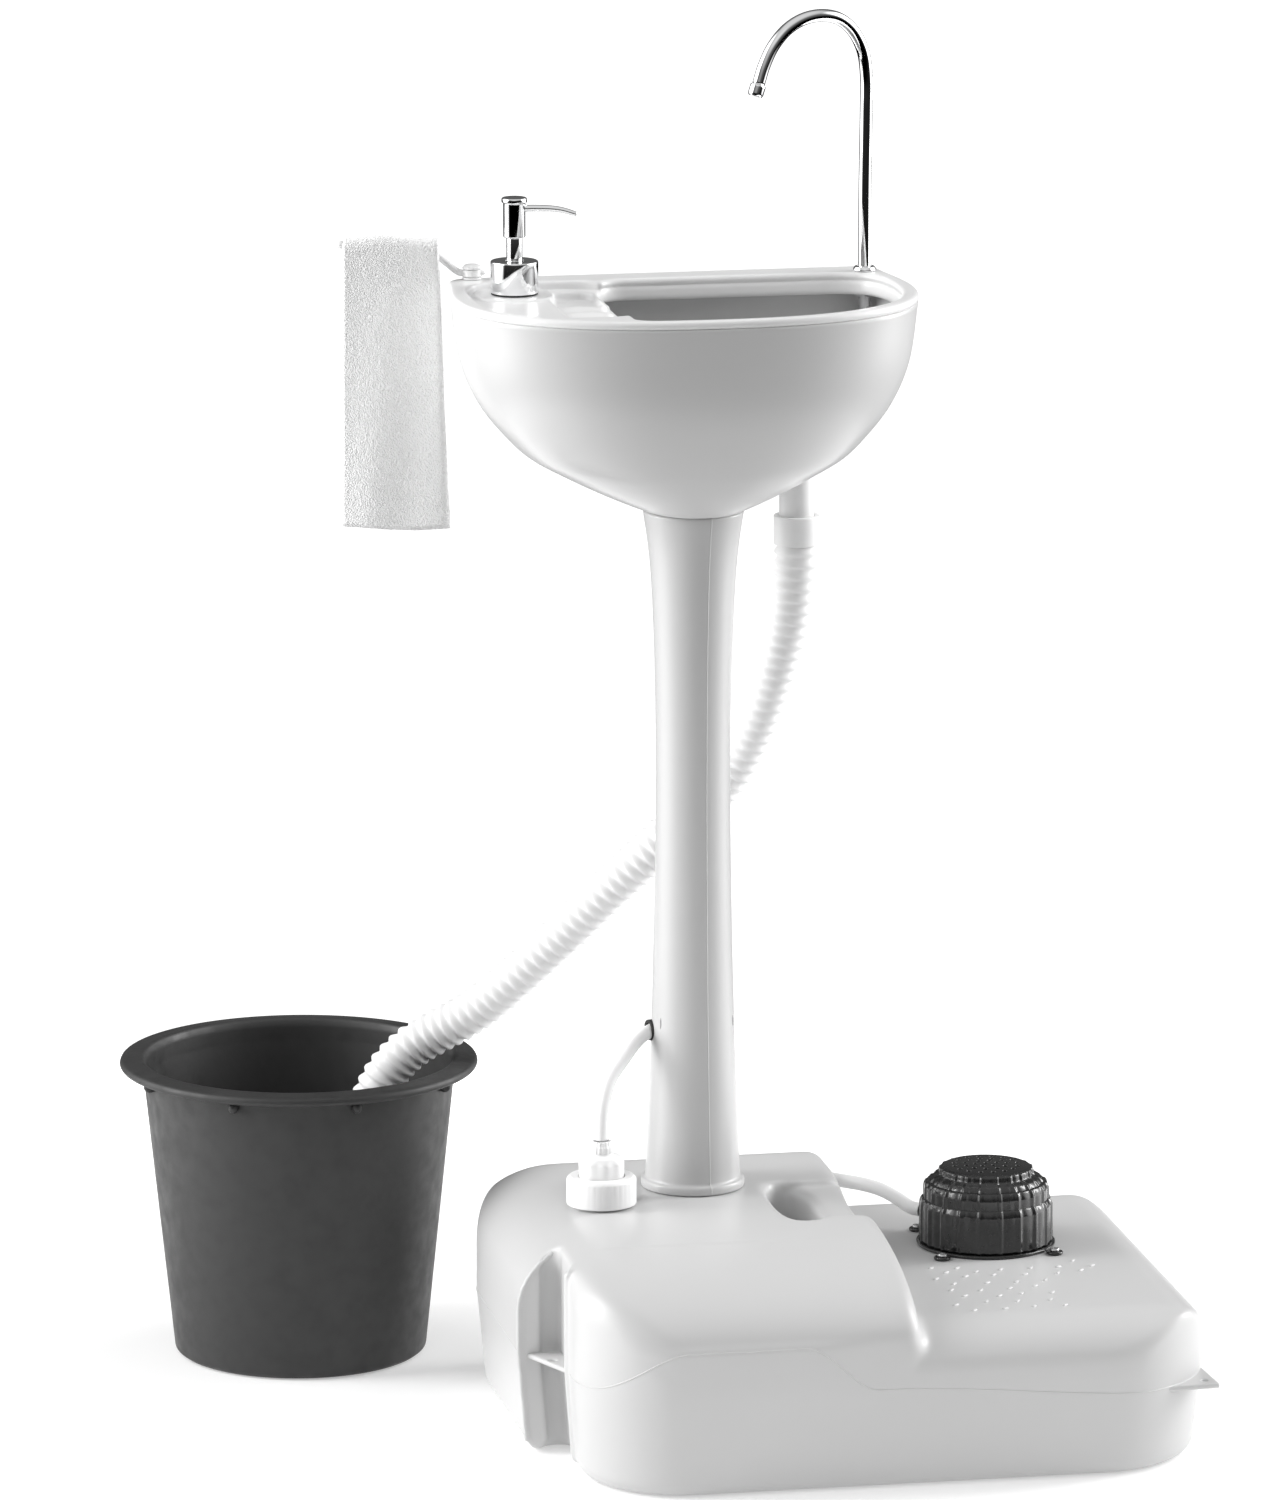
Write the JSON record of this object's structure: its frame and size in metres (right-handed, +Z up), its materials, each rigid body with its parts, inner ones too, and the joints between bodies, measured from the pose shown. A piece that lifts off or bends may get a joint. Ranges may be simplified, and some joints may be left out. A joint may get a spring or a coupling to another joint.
{
  "type": "portable handwash sink",
  "caption": "Portable handwash sink: water tank with foot pump, hollow column, moulded basin with swivel tap, soap pump, towel arm, corrugated drain hose and waste bucket.",
  "frame": {"origin": "on the floor under the axis of the column, on the flat underside of the tank", "axes": "+Z up, -Y to the front (the side a user stands at), +X to the foot pump side"},
  "size_m": [0.948, 0.766, 1.3135],
  "materials": {
    "tank_plastic": "satin blow-moulded polyethylene, light grey white",
    "basin_plastic": "satin moulded polyethylene, light grey white",
    "white_plastic": "white satin",
    "hose_plastic": "milky white flexible plastic",
    "clear_plastic": "milky clear",
    "pump_black": "glossy black",
    "bucket_grey": "dark grey, fine matt grain",
    "chrome": "polished",
    "steel": "zinc plated or stainless",
    "black_rubber": "matt",
    "terry": "white terry loops"
  },
  "bodies": {
    "root": {"tank_shell": "tank_plastic", "cap_seal": "black_rubber", "hose_adapter": "white_plastic", "adapter_nut": "white_plastic", "dip_tube": "clear_plastic", "water_hose": "hose_plastic", "pump_flange": "pump_black", "pump_valve": "black_rubber", "pump_spring": "steel", "pump_skirt_lower": "pump_black", "pump_outlet_barb": "pump_black", "pump_screw_1": "steel", "pump_screw_2": "steel", "pump_screw_3": "steel", "pump_screw_4": "steel", "air_hose": "hose_plastic", "air_nipple": "white_plastic", "column": "basin_plastic", "basin_shell": "basin_plastic", "basin_top": "basin_plastic", "drain_strainer": "chrome", "drain_gasket": "black_rubber", "drain_nut": "white_plastic", "drain_tailpiece": "hose_plastic", "hose_cuff_top": "hose_plastic", "drain_hose": "hose_plastic", "hose_cuff_end": "hose_plastic", "faucet_ferrule": "chrome", "faucet_washer": "black_rubber", "faucet_nut": "steel", "faucet_tail": "steel", "soap_collar": "chrome", "soap_spring": "steel", "soap_gasket": "black_rubber", "soap_lock_nut": "white_plastic", "soap_bottle": "clear_plastic", "soap_dip_tube": "clear_plastic", "towel_arm_spacer": "white_plastic", "towel_arm_knob": "white_plastic", "towel_arm_nut": "steel", "bucket": "bucket_grey"},
    "filler_cap": {"filler_cap_ring": "white_plastic"},
    "pump_tread": {"pump_tread_cap": "pump_black"},
    "pump_middle": {"pump_skirt_middle": "pump_black"},
    "soap_plunger": {"soap_shaft": "chrome"},
    "soap_spout": {"soap_head": "chrome"},
    "tap": {"faucet_spout": "chrome", "faucet_nozzle": "chrome"},
    "towel_rail": {"towel_arm": "white_plastic", "towel": "terry"}
  },
  "joints": [
    {"name": "filler_cap_turn", "type": "hinge", "parent": "root", "child": "filler_cap", "pos_m": [-0.099, -0.058, 0.225], "axis": [0, 0, 1], "continuous": true},
    {"name": "pump_press", "type": "slide", "parent": "root", "child": "pump_tread", "axis": [0, 0, -1], "range_m": [0, 0.026], "stiffness_N_per_m": 1500, "springref_m": -0.01, "deforming": ["pump_spring"]},
    {"name": "pump_middle_press", "type": "slide", "parent": "root", "child": "pump_middle", "axis": [0, 0, -1], "range_m": [0, 0.013]},
    {"name": "soap_press", "type": "slide", "parent": "root", "child": "soap_plunger", "axis": [0, 0, -1], "range_m": [0, 0.014], "stiffness_N_per_m": 400, "springref_m": -0.01, "deforming": ["soap_spring"]},
    {"name": "soap_head_turn", "type": "hinge", "parent": "soap_plunger", "child": "soap_spout", "pos_m": [-0.154, 0.085, 1.11], "axis": [0, 0, 1], "continuous": true},
    {"name": "tap_swivel", "type": "hinge", "parent": "root", "child": "tap", "pos_m": [0.188, 0.117, 1.062], "axis": [0, 0, 1], "range_deg": [-110, 110]},
    {"name": "towel_arm_swing", "type": "hinge", "parent": "root", "child": "towel_rail", "pos_m": [-0.185, 0.138, 1.067], "axis": [0, 0, 1], "range_deg": [-90, 15]}
  ],
  "couplings": [
    {"joint": "pump_middle_press", "follows": "pump_press", "ratio": 0.5}
  ]
}
